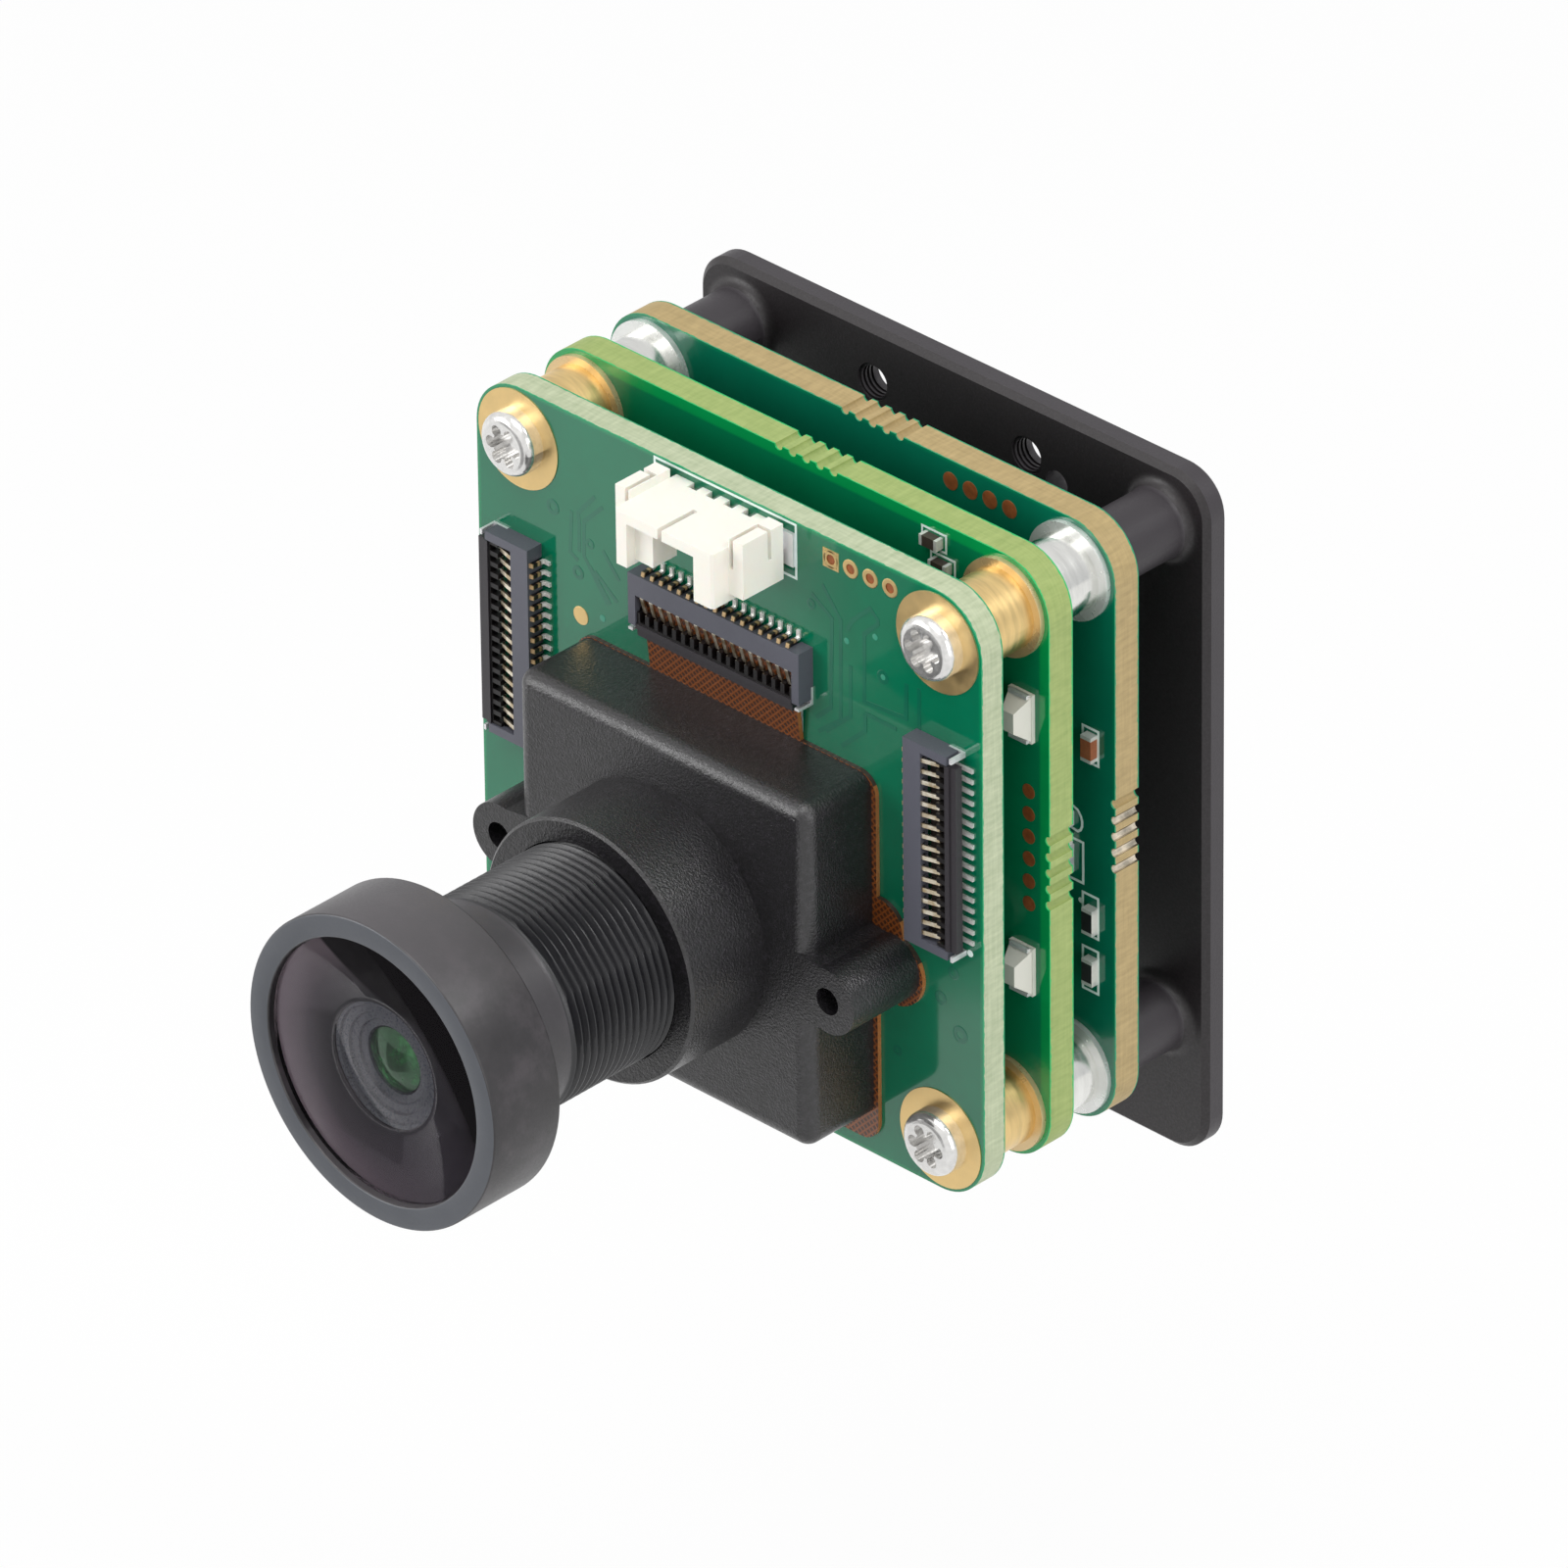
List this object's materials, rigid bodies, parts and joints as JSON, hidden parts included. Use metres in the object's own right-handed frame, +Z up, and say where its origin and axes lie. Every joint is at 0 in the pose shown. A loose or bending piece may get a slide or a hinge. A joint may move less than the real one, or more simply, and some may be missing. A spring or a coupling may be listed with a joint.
{
  "type": "board camera module",
  "caption": "Open board camera module with a screw-in wide lens, stacked green circuit boards on spacers and a black base plate.",
  "frame": {"origin": "on the base plate's rear face, at the centre of the four corner screws", "axes": "+Z up the boards, +Y out of the rear face, -Y the way the lens looks, +X to the right seen from in front of the lens"},
  "size_m": [0.0354, 0.0434, 0.0402],
  "materials": {
    "black_anodised": "satin black anodised",
    "board_green": "green solder mask",
    "tinned_metal": "bright tinned",
    "brass_spacer": "turned brass",
    "solder": "bright solder",
    "gold_plate": "thin gold plate",
    "screw_steel": "bright plated steel",
    "chip_black": "moulded",
    "connector_black": "moulded",
    "latch_black": "moulded",
    "led_white": "moulded",
    "chip_brown": "fired ceramic",
    "flex_brown": "copper under amber film",
    "holder_black": "fine grained moulding",
    "barrel_black": "satin black anodised",
    "lens_glass": "coated",
    "clear_glass": "polished",
    "connector_white": "moulded"
  },
  "bodies": {
    "stack": {"base_plate": "black_anodised", "back_board": "board_green", "middle_board": "board_green", "front_board": "board_green", "rear_spacers": "tinned_metal", "rear_solder_rings": "solder", "front_spacers": "brass_spacer", "front_solder_rings": "solder", "ground_pads": "gold_plate", "corner_screws": "screw_steel", "processor_chip": "chip_black", "rear_stack_socket": "connector_black", "rear_stack_plug": "connector_black", "front_stack_socket": "connector_black", "front_stack_plug": "connector_black", "status_leds": "led_white", "middle_chip_bodies": "chip_brown", "middle_chip_ends": "solder", "back_chip_bodies": "chip_brown", "back_chip_ends": "solder", "sensor_flex": "flex_brown", "image_sensor": "chip_black", "sensor_glass": "clear_glass", "lens_holder": "holder_black", "holder_screws": "screw_steel", "top_cable_contacts": "gold_plate", "top_cable_housing": "connector_black", "left_cable_contacts": "gold_plate", "left_cable_housing": "connector_black", "right_cable_contacts": "gold_plate", "right_cable_housing": "connector_black", "top_cable_nails": "solder", "left_cable_nails": "solder", "right_cable_nails": "solder", "wire_connector_pins": "solder", "wire_connector_tabs": "solder", "wire_connector_housing": "connector_white"},
    "lens": {"lens_barrel": "barrel_black", "front_element": "lens_glass", "inner_ring": "barrel_black", "second_element": "lens_glass", "rear_element": "lens_glass"},
    "top_latch": {"top_cable_latch": "latch_black"},
    "left_latch": {"left_cable_latch": "latch_black"},
    "right_latch": {"right_cable_latch": "latch_black"}
  },
  "joints": [
    {"name": "lens_focus", "type": "hinge", "parent": "stack", "child": "lens", "pos_m": [0, -0.028, -0.00505], "axis": [0, -1, 0], "range_deg": [-180, 180]},
    {"name": "top_latch_flip", "type": "hinge", "parent": "stack", "child": "top_latch", "pos_m": [0, -0.0182, 0.00855], "axis": [-1, 0, 0], "range_deg": [0, 90]},
    {"name": "left_latch_flip", "type": "hinge", "parent": "stack", "child": "left_latch", "pos_m": [-0.0153, -0.0182, 0.00305], "axis": [0, 0, 1], "range_deg": [0, 90]},
    {"name": "right_latch_flip", "type": "hinge", "parent": "stack", "child": "right_latch", "pos_m": [0.0153, -0.0182, 0.00305], "axis": [0, 0, -1], "range_deg": [0, 90]}
  ]
}
